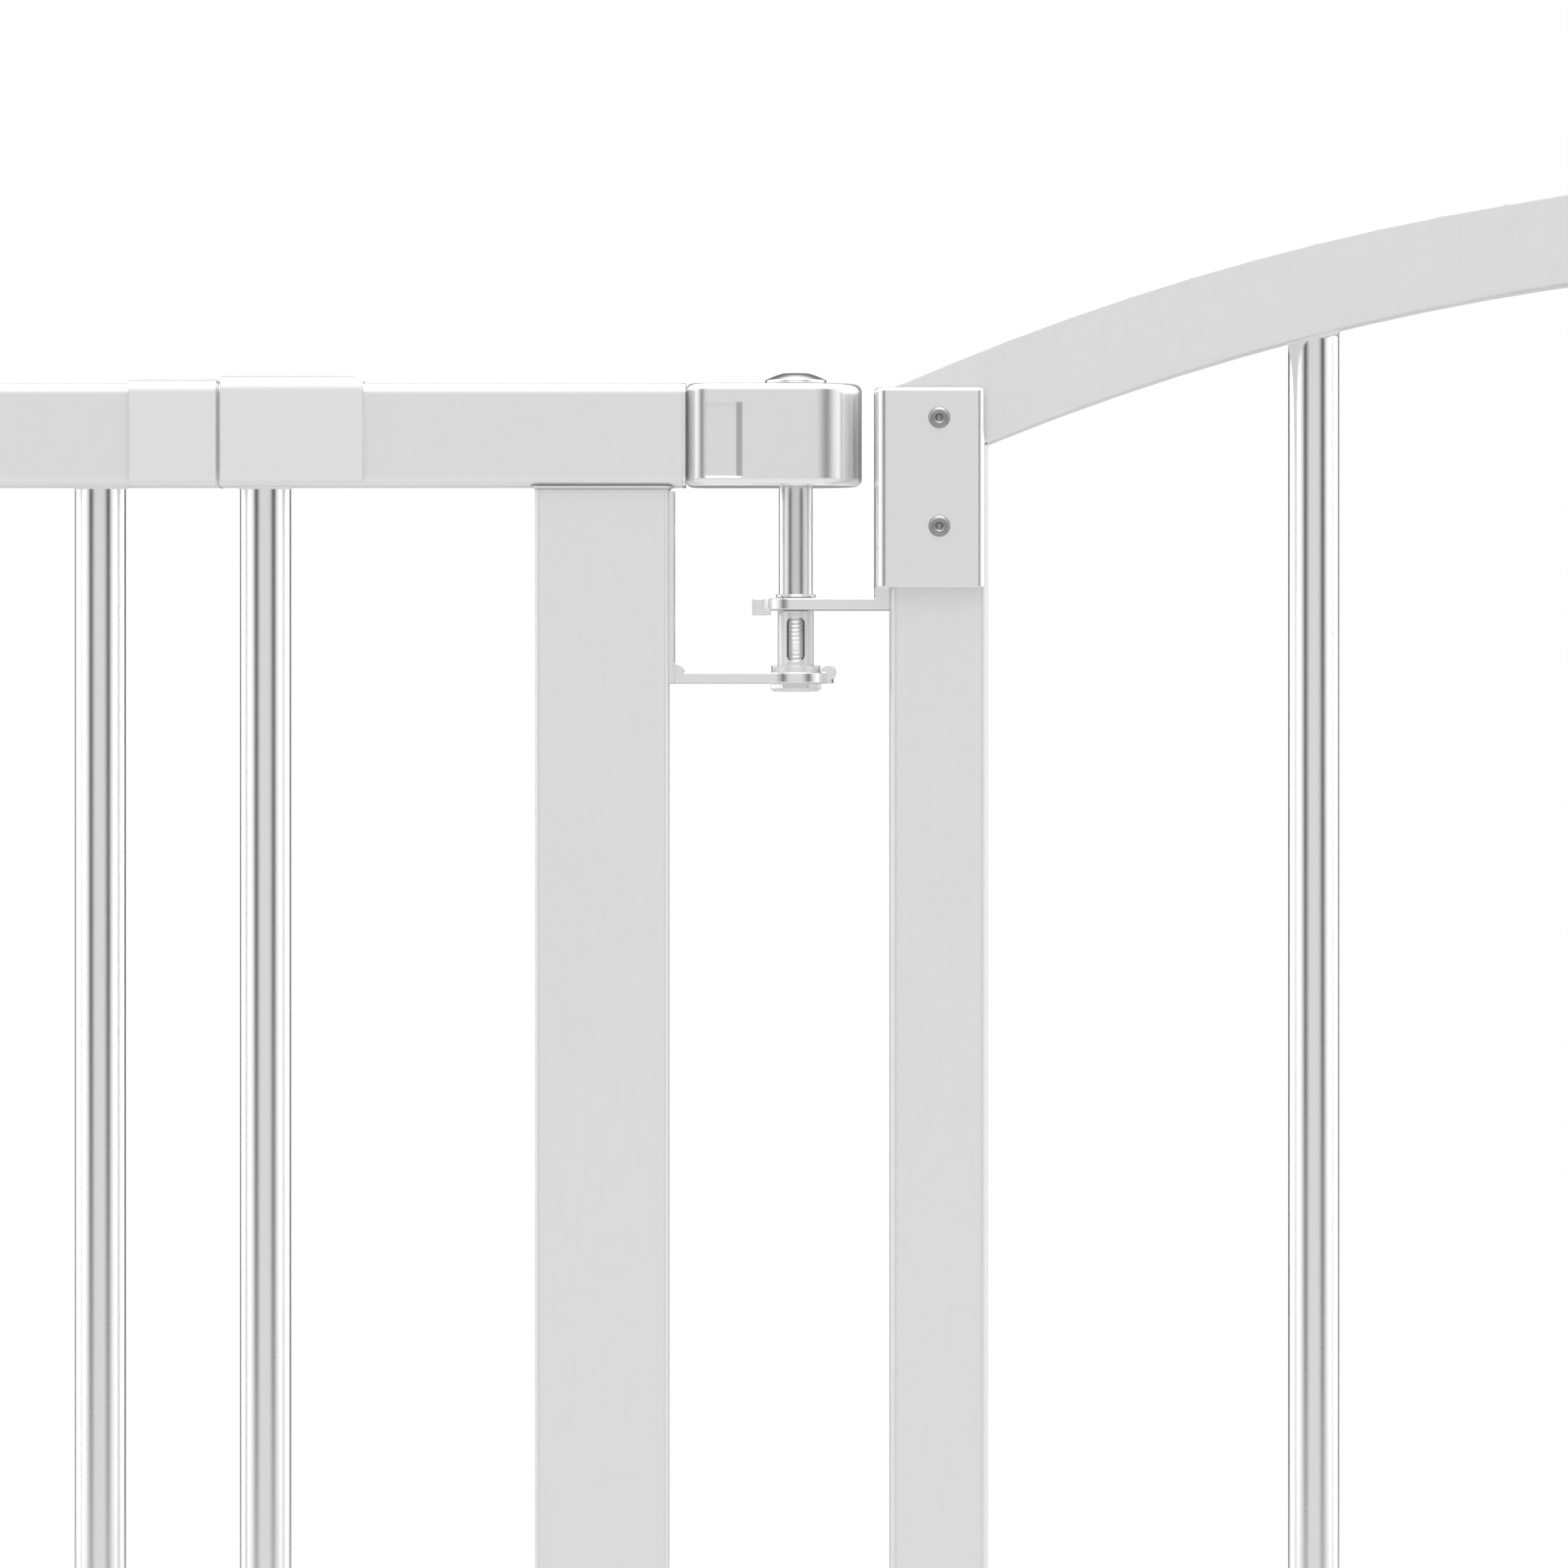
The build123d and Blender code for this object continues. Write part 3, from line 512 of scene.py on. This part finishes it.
def make_door_welds():
    """Beads at both ends of the door's bars and round the ends of its bottom rail."""
    bm = bmesh.new()
    verts = []
    bar_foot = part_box("door_baluster_3")[0].z
    for number in range(1, 6):
        x = middle(f"door_baluster_{number}").x
        verts += bead_ring(bm, BALUSTER_R, placed((x, 0, bar_foot)))
        verts += bead_ring(bm, BALUSTER_R, arch_place(x), 1.2)
    rail = middle("door_bottom_rail")
    for name in ("door_hinge_post", "door_latch_post"):
        post = middle(name)
        inward = -math.copysign(1, post.x)
        place = placed((post.x + inward * POST / 2 * MM, 0, rail.z), (inward, 0, 0))
        verts += box_ring(bm, 18.0, 18.0, 1.6, 0.9, place)
    ripple(verts)
    piece(bm, "door_welds", "door", "frame_paint")


def make_frame_welds():
    """Beads on the frame's bars, at both ends of the flat posts and where the bottom rails meet them."""
    bm = bmesh.new()
    verts = []
    low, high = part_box("inner_balusters")
    for side in SIDES.values():
        x = side * (high.x - BALUSTER_R * MM)
        verts += bead_ring(bm, BALUSTER_R, placed((x, 0, low.z)))
        verts += bead_ring(bm, BALUSTER_R, placed((x, 0, high.z), DOWN))
    rail = middle("inner_bottom_rails")
    for name in ("left_flat_post", "right_flat_post"):
        low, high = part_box(name)
        centre = (low + high) / 2
        verts += box_ring(bm, FLAT_POST, POST_DEPTH, 1.0, 0.8, placed((centre.x, 0, high.z), DOWN))
        verts += box_ring(bm, FLAT_POST, POST_DEPTH, 1.0, 1.0, placed((centre.x, 0, low.z)))
        outward = math.copysign(1, centre.x)
        place = placed((centre.x + outward * FLAT_POST / 2 * MM, 0, rail.z), (outward, 0, 0))
        verts += box_ring(bm, RAIL, 17.0, 2.2, 0.9, place)
    ripple(verts)
    piece(bm, "frame_welds", "frame", "frame_paint")


def make_panel_welds():
    """Beads at both ends of each panel's bars and where its rails meet the wall post."""
    for name, side in SIDES.items():
        bm = bmesh.new()
        verts = []
        low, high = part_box(f"{name}_panel_balusters")
        pitch = (high.x - low.x - 2 * BALUSTER_R * MM) / 3
        for step in range(4):
            x = low.x + BALUSTER_R * MM + step * pitch
            verts += bead_ring(bm, BALUSTER_R, placed((x, 0, low.z)))
            verts += bead_ring(bm, BALUSTER_R, placed((x, 0, high.z), DOWN))
        face = middle(f"{name}_wall_post").x - side * POST / 2 * MM
        for level in LEVELS:
            z = middle(f"{name}_panel_{level}_rail").z
            verts += box_ring(bm, RAIL, 19.0, 2.2, 0.9, placed((face, 0, z), (-side, 0, 0)))
        ripple(verts)
        piece(bm, f"{name}_panel_welds", f"{name}_panel", "frame_paint")


make_door_welds()
make_frame_welds()
make_panel_welds()


# ---------------------------------------------------------------- hinge stack
PIN_CROWN = 2.4  # height of the pin's domed head
PIN_PLAIN = 45.0  # unthreaded length under the head
SUPPORT_ARM = 2.0  # thickness of the arm that the nut is tightened up against


def make_hinge_pin():
    low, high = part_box("hinge_pin")
    length = (high.z - low.z) / MM
    head = length - PIN_CROWN
    shank = head - PIN_PLAIN
    outline = [
        (0, 0), (1.9, 0), (2.3, 0.4), (2.3, shank - 0.4), (2.5, shank), (2.5, head),
        (5.6, head), (6.0, head + 0.35), (6.0, head + 0.8), (5.1, head + 1.25), (3.9, head + 1.75),
        (2.6, head + 2.15), (2.3, head + 2.15), (1.9, head + 1.2), (0, head + 1.0),
    ]
    place = placed((PIN.x, 0, low.z))
    bm = bmesh.new()
    lathe(bm, outline, place, steps=64)
    thread(bm, place, shank, 2.3, 2.48, 0.8)
    piece(bm, "hinge_pin_threaded", "frame", "zinc_steel", ["hinge_pin"])


def make_hinge_washers():
    """Thin steel washers on top of the door bracket's arm and on top of the support arm."""
    bm = bmesh.new()
    door_arm_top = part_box("hinge_spacer")[0].z
    support_arm_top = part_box("hinge_nut")[1].z + SUPPORT_ARM * MM
    for z, outer in ((door_arm_top, 3.9), (support_arm_top, 4.75)):
        outline = [
            (2.6, 0.05), (outer - 0.15, 0.05), (outer, 0.2), (outer, 0.5), (outer - 0.15, 0.65), (2.6, 0.65),
        ]
        lathe(bm, outline, placed((PIN.x, 0, z)), steps=40, closed=True)
    piece(bm, "hinge_washers", "frame", "zinc_steel")


make_hinge_pin()
make_hinge_washers()


# ---------------------------------------------------------------- fasteners
RIVET_HEIGHT = 0.9
RIVET_RADIUS = 2.1
RIVET_OUTLINE = (
    (0, 0.12), (0.55, 0.12), (0.75, 0.5), (1.05, 0.74), (1.45, 0.78), (1.85, 0.55),
    (RIVET_RADIUS, 0.12), (RIVET_RADIUS, -0.05), (0, -0.05),
)


def make_rivets():
    """Set rivets on both faces of the door's brackets: low rolled heads with a sunk, ringed middle."""
    low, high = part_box("door_rivets")
    face = (high.y - low.y) / 2 - RIVET_HEIGHT * MM
    bm = bmesh.new()
    for x in (low.x + RIVET_RADIUS * MM, high.x - RIVET_RADIUS * MM):
        for z in (low.z + RIVET_RADIUS * MM, high.z - RIVET_RADIUS * MM):
            for outward in (-1, 1):
                place = placed(Vector((x, outward * face, z)), (0, outward, 0))
                lathe(bm, RIVET_OUTLINE, place, steps=36)
    piece(bm, "door_rivet_heads", "door", "rivet_steel", ["door_rivets"])


make_rivets()


# ---------------------------------------------------------------- wall feet
SPINDLE_PITCH = 1.25
WHEEL_OUTLINE = (
    (4.0, 12.4), (4.5, 12.95), (7.6, 12.95), (8.3, 12.3), (8.5, 11.2), (8.3, 7.0), (8.9, 6.3),
    (12.4, 6.2), (13.6, 7.6), (15.2, 9.0), (16.2, 8.6), (16.8, 7.4), (16.8, 1.6),
    (16.2, 0.5), (15.2, 0.05), (6.2, 0.05), (5.8, 0.5), (4.2, 0.5), (4.0, 1.2),
)
WHEEL_SCALLOPS = 12
WHEEL_RIM_FROM = 13.0  # radius at which the rim and its scallops start
WHEEL_RIBS = 6
RIB_PLAN = ((7.9, -0.7), (13.9, -0.5), (13.9, 0.5), (7.9, 0.7))
RIB_FOOT = 6.0
RIB_HEIGHT = 2.6
RIB_OUTER_TOP = 7.8
PAD_DEPTH = 10.0
PAD_CUP = (
    (3.95, 0.4), (4.4, 0.02), (8.4, 0.02), (9.6, 0.5), (10.3, 1.6), (10.9, 3.4), (12.4, 5.0), (14.3, 6.2),
    (14.9, 7.2), (15.0, 8.9), (14.6, 9.6), (14.0, 9.95),
)
PAD_GRIP_RADII = (13.0, 10.4, 7.8, 5.2, 2.6)


def make_spindle(name, body, inner_x, outer_x, side, height):
    """M8 screw: threaded over its whole length, with a turned-down end inside the pad."""
    length = abs(outer_x - inner_x) / MM
    place = placed((inner_x, 0, height), (side, 0, 0))
    outline = [
        (0, 0), (2.9, 0), (3.3, 0.6), (3.3, length - 5.6), (2.8, length - 5.2), (2.8, length - 4.4),
        (3.5, length - 4.2), (3.5, length), (0, length),
    ]
    bm = bmesh.new()
    lathe(bm, outline, place, steps=40)
    thread(bm, place, length - 5.0, 3.3, 3.88, SPINDLE_PITCH, steps=20)
    piece(bm, f"{name}_threaded", body, "zinc_steel", [name])


def wheel_radius(radius, angle):
    """Rim of the wheel pulled in at its finger scallops."""
    swing = max(0.0, math.cos(WHEEL_SCALLOPS * angle))
    depth = 1.7 * swing**1.5 * max(0.0, min(1.0, (radius - WHEEL_RIM_FROM) / 3.0))
    return radius - depth


def make_wheel(name, body, face_x, side, height):
    """Hand wheel: scalloped rim, dished web with ribs and a flanged hub round the screw."""
    bm = bmesh.new()
    made = lathe(bm, WHEEL_OUTLINE, Matrix.Identity(4), steps=144, closed=True)
    for v in made:
        radius = math.hypot(v.co.x, v.co.y) / MM
        if radius > WHEEL_RIM_FROM:
            share = wheel_radius(radius, math.atan2(v.co.y, v.co.x)) / radius
            v.co.x *= share
            v.co.y *= share
    for step in range(WHEEL_RIBS):
        rib = prism(bm, RIB_PLAN, RIB_HEIGHT, Matrix.Translation((0, 0, RIB_FOOT * MM)))
        for v in rib:
            if v.co.z > (RIB_FOOT + 0.1) * MM and v.co.x > WHEEL_RIM_FROM * MM:
                v.co.z = RIB_OUTER_TOP * MM
        turn = Matrix.Rotation(math.radians(360 / WHEEL_RIBS * step + 15), 4, "Z")
        bmesh.ops.transform(bm, matrix=turn, verts=rib)
        made += rib
    bmesh.ops.transform(bm, matrix=placed((face_x, 0, height), (side, 0, 0)), verts=made)
    piece(bm, f"{name}_moulded", body, "wheel_plastic", [name])


def make_pad(name, body, face_x, side, height):
    """Rubber foot: waisted cup with a flared lip and raised grip rings on its face."""
    outline = list(PAD_CUP)
    for radius in PAD_GRIP_RADII:
        outline += [(radius + 0.5, 9.95), (radius + 0.25, 9.35), (radius - 0.25, 9.35), (radius - 0.5, 9.95)]
    outline += [(0.0, 9.95), (0.0, 6.2), (3.95, 6.2)]
    place = placed((face_x - side * PAD_DEPTH * MM, 0, height), (side, 0, 0))
    bm = bmesh.new()
    lathe(bm, outline, place, steps=64, closed=True)
    piece(bm, f"{name}_moulded", body, "foot_rubber", [name])


def make_wall_feet():
    for side_name, side in SIDES.items():
        for level in LEVELS:
            corner = f"{side_name}_{level}"
            foot, wheel = f"{corner}_foot", f"{corner}_wheel"
            low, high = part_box(f"{corner}_spindle")
            height = (low.z + high.z) / 2
            ends = (low.x, high.x) if side > 0 else (high.x, low.x)
            make_spindle(f"{corner}_spindle", foot, *ends, side, height)
            low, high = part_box(f"{corner}_hand_wheel")
            make_wheel(f"{corner}_hand_wheel", wheel, low.x if side > 0 else high.x, side, height)
            low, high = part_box(f"{corner}_pad")
            make_pad(f"{corner}_pad", foot, high.x if side > 0 else low.x, side, height)


make_wall_feet()


# ---------------------------------------------------------------- caps, latch and threshold
FOOT_XS = (-245, -82, 82, 245)
GRIP_MARGIN = 6.0  # from the flat posts to the ends of the grip strip
GRIP_RIBS = 9
GRIP_PITCH = 1.9
KNOB_OUTLINE = (
    (0, 0), (5.3, 0), (5.9, 0.5), (6.0, 1.2), (5.5, 2.2), (5.4, 4.4), (6.2, 5.8), (8.6, 7.4), (9.6, 8.6),
    (9.95, 9.8), (9.95, 12.0), (9.5, 13.3), (8.2, 14.3), (6.4, 15.0), (4.6, 15.25), (3.8, 15.05),
    (2.2, 14.5), (0, 14.3),
)
KNOB_FLUTES = 16
SCREW_LENGTH = 8.0
SCREW_HEIGHTS = {"left": (692.0, 674.0, 36.5, 22.5), "right": (692.0, 674.0)}
SCREW_OUTLINE = (
    (0, -0.9), (1.15, -0.9), (1.3, -0.15), (1.5, -0.02), (2.7, -0.02), (2.98, -0.12), (2.98, -0.2),
    (2.0, -1.1), (1.9, -1.4), (1.75, -1.6), (1.75, -7.6), (1.4, -8.0), (0, -8.0),
)
SEAM_SECTION = (
    (20.2, 20.2, 2.3, 0.0), (20.2, 20.2, 2.3, 0.34), (18.3, 18.3, 1.6, 0.34), (18.3, 18.3, 1.6, 0.0),
)


def cap(bm, width, depth, corner, place, height=1.6, plug=7.0):
    """Push-in end cap of a square tube: plate with its rim drawn in, and a plug inside the tube."""
    plate = prism(bm, rounded(width, depth, corner, 6), height, Matrix.Identity(4))
    inner = rounded(width - 2.6, depth - 2.6, max(corner - 1.0, 0.5), 6)
    stub = prism(bm, inner, plug, Matrix.Translation((0, 0, -plug * MM)))
    outer = [v for v in plate if v.co.z > 0.5 * height * MM]
    for v in outer:
        v.co.x *= 1 - 1.1 / width
        v.co.y *= 1 - 1.1 / depth
    bmesh.ops.transform(bm, matrix=place, verts=plate + stub)


def make_caps():
    """Caps on both ends of the wall posts, under the latch post and on the ends of the threshold bar."""
    for name in SIDES:
        low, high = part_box(f"{name}_wall_post")
        x = (low.x + high.x) / 2
        bm = bmesh.new()
        cap(bm, 19.0, 20.0, 1.6, placed((x, 0, high.z)))
        cap(bm, 19.0, 20.0, 1.6, placed((x, 0, low.z), DOWN))
        piece(bm, f"{name}_post_caps", f"{name}_panel", "moulded_white")
    low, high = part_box("door_latch_post")
    bm = bmesh.new()
    cap(bm, 19.0, 19.0, 1.6, placed(((low.x + high.x) / 2, 0, low.z), DOWN))
    piece(bm, "door_post_cap", "door", "moulded_white")
    low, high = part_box("threshold_bar")
    bm = bmesh.new()
    for x, way in ((low.x, -1), (high.x, 1)):
        place = placed((x, 0, (low.z + high.z) / 2), (way, 0, 0))
        cap(bm, 12.0, 26.0, 3.0, place, height=2.0)
    piece(bm, "threshold_caps", "frame", "moulded_white")


def make_grip_strip():
    """Ribbed anti-slip strip along the top of the threshold bar, between the flat posts."""
    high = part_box("threshold_bar")[1]
    start_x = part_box("left_flat_post")[1].x + GRIP_MARGIN * MM
    profile = [(-9.0, -0.1), (9.0, -0.1), (9.0, 0.5), (8.4, 0.9)]
    for step in range(GRIP_RIBS):
        y = GRIP_PITCH * (GRIP_RIBS - 1) / 2 - step * GRIP_PITCH
        profile += [(y + 0.5, 0.9), (y + 0.3, 1.35), (y - 0.3, 1.35), (y - 0.5, 0.9)]
    profile += [(-8.4, 0.9), (-9.0, 0.5)]
    turn = Matrix(((0, 0, 1, start_x), (1, 0, 0, 0), (0, 1, 0, high.z), (0, 0, 0, 1)))
    bm = bmesh.new()
    prism(bm, profile, -2 * start_x / MM, turn)
    piece(bm, "threshold_grip", "frame", "foot_rubber")


def make_threshold_feet():
    """Rubber feet, drawn in a little at the floor, with three low bars let into each sole."""
    bm = bmesh.new()
    for x in FOOT_XS:
        verts = prism(bm, rounded(34.0, 19.0, 4.0, 5), 4.0, Matrix.Translation((x * MM, 0, 0)))
        for v in verts:
            if v.co.z < 1 * MM:
                v.co.x = x * MM + (v.co.x - x * MM) * 0.95
                v.co.y *= 0.93
        for step in (-1, 0, 1):
            prism(bm, rounded(1.6, 13.0, 0.7, 3), 0.5, Matrix.Translation(((x + 8 * step) * MM, 0, 0)))
    piece(bm, "threshold_feet_moulded", "frame", "foot_rubber", ["threshold_feet"])


def make_knob():
    """Latch knob: collar, fluted grip and a dished crown."""
    low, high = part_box("latch_knob")
    bm = bmesh.new()
    made = lathe(bm, KNOB_OUTLINE, Matrix.Identity(4), steps=96)
    for v in made:
        if 8.0 < v.co.z / MM < 13.6:
            swing = 0.5 - 0.5 * math.cos(KNOB_FLUTES * math.atan2(v.co.y, v.co.x))
            share = 1 - 0.05 * swing**2
            v.co.x *= share
            v.co.y *= share
    bmesh.ops.transform(bm, matrix=placed(((low.x + high.x) / 2, 0, low.z)), verts=made)
    piece(bm, "latch_knob_fluted", "latch", "moulded_white", ["latch_knob"])


def make_screws():
    """Countersunk screws with a round recess in each head."""
    outer_x = abs(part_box("bracket_screws")[0].x)
    bm = bmesh.new()
    for side_name, side in SIDES.items():
        face_x = side * (outer_x - SCREW_LENGTH * MM)
        for height in SCREW_HEIGHTS[side_name]:
            place = placed((face_x, 0, height * MM), (-side, 0, 0))
            lathe(bm, SCREW_OUTLINE, place, steps=36)
            tip = placed(place @ Vector((0, 0, -7.9 * MM)), (-side, 0, 0))
            thread(bm, tip, 6.3, 1.75, 1.98, 0.7, steps=16)
    piece(bm, "bracket_screws_turned", "frame", "zinc_steel", ["bracket_screws"])


def make_seam_lips():
    """Thin light lip on each panel collar that closes the telescoping seam when the gate is closed up."""
    for name, side in SIDES.items():
        low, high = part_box(f"{name}_panel_top_rail")
        seam_x = low.x if side > 0 else high.x
        bm = bmesh.new()
        for level in LEVELS:
            z = middle(f"{name}_panel_{level}_rail").z
            square_ring(bm, SEAM_SECTION, placed((seam_x, 0, z), (-side, 0, 0)), steps=5)
        piece(bm, f"{name}_seam_lips", f"{name}_panel", "moulded_white")


make_caps()
make_seam_lips()
make_grip_strip()
make_threshold_feet()
make_knob()
make_screws()
